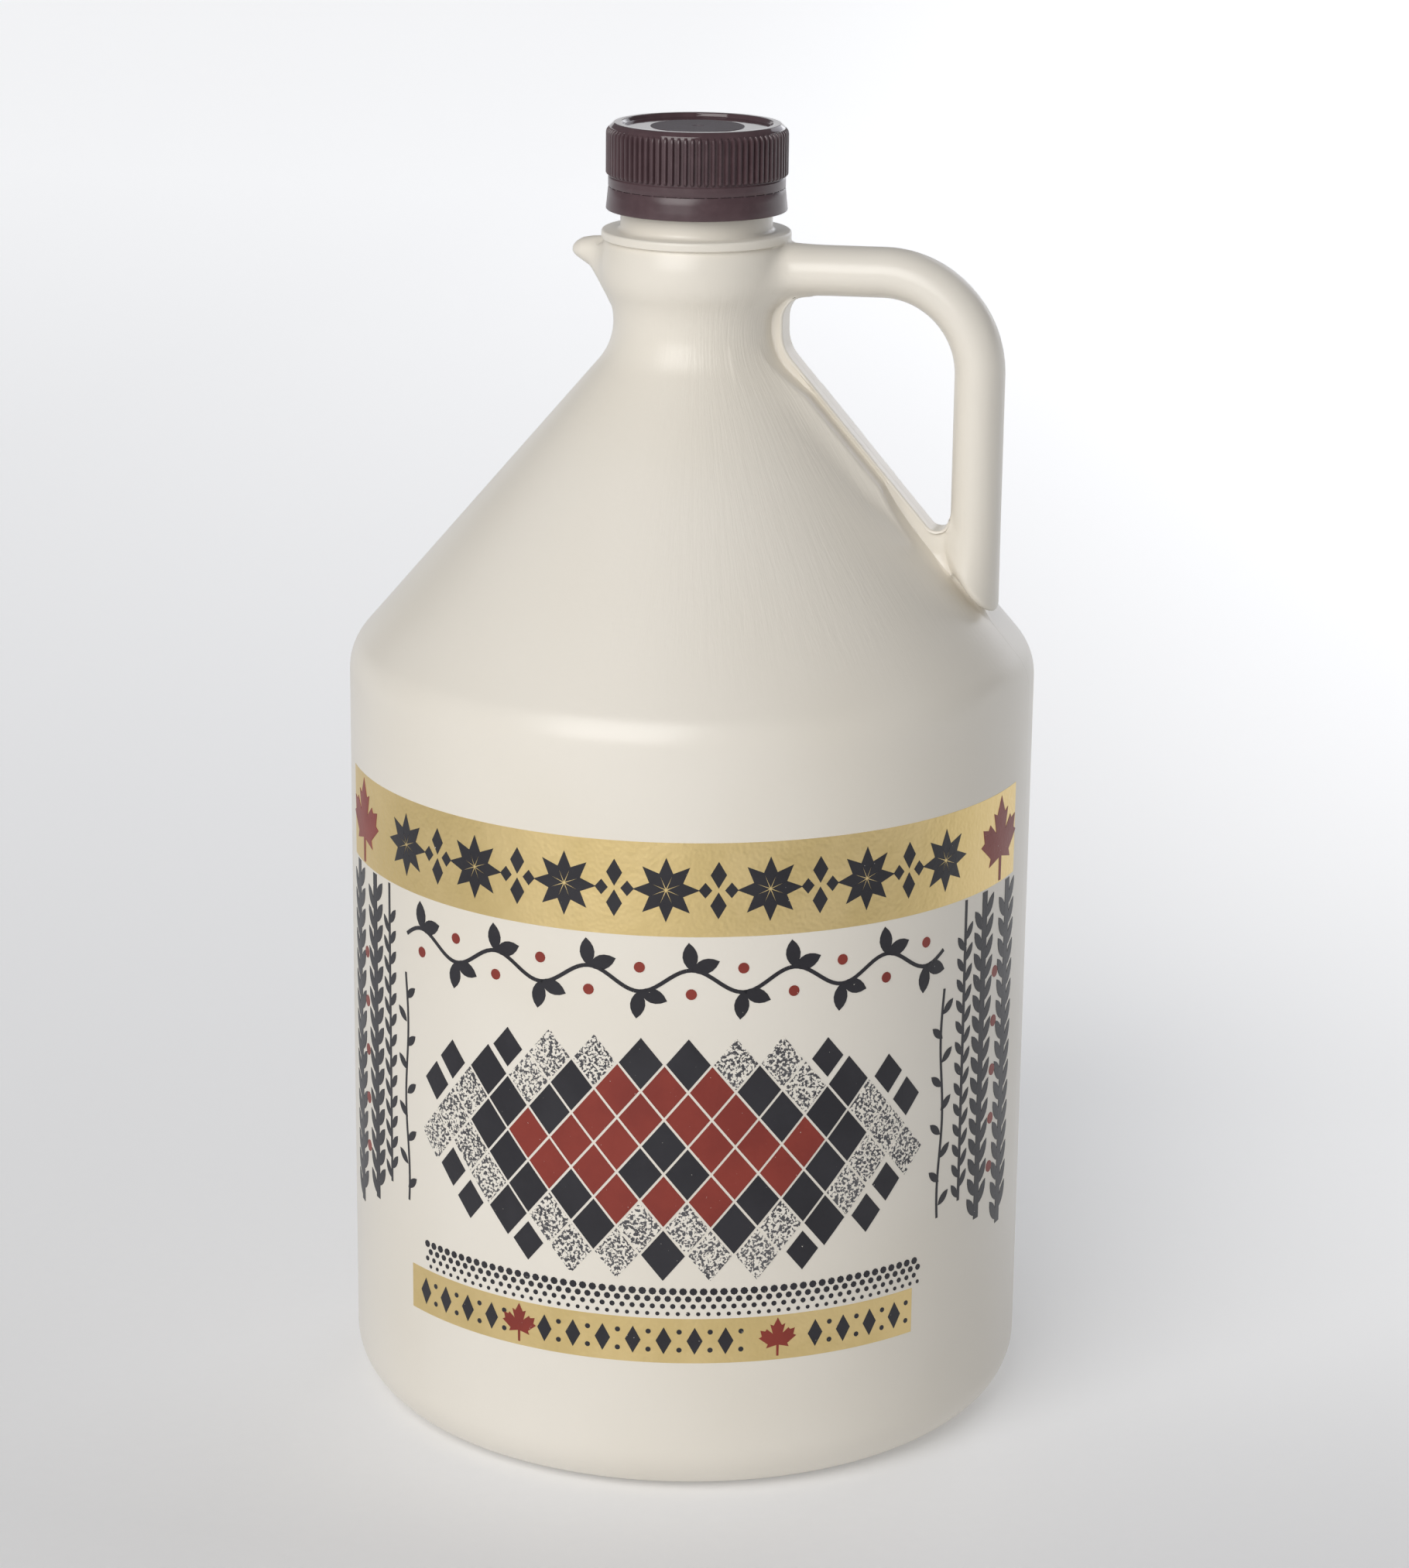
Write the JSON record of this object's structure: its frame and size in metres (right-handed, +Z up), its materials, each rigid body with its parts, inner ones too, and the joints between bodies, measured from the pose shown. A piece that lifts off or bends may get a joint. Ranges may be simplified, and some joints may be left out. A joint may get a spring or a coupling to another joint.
{
  "type": "maple syrup jug",
  "caption": "Blow-moulded plastic syrup jug with a conical shoulder, a loop handle, a small lug and a ribbed screw cap.",
  "frame": {"origin": "middle of the base, on the surface that the jug stands on", "axes": "+Z up along the axis of body, neck and cap; +X towards the handle, -X towards the lug; the printed front faces -Y"},
  "size_m": [0.16, 0.16, 0.3029],
  "materials": {
    "cream_plastic": "satin, finely pebbled, with printed bands and figures on the wall",
    "brown_plastic": "semi-gloss"
  },
  "bodies": {
    "root": {"jug": "cream_plastic", "cap": "brown_plastic"}
  },
  "joints": []
}
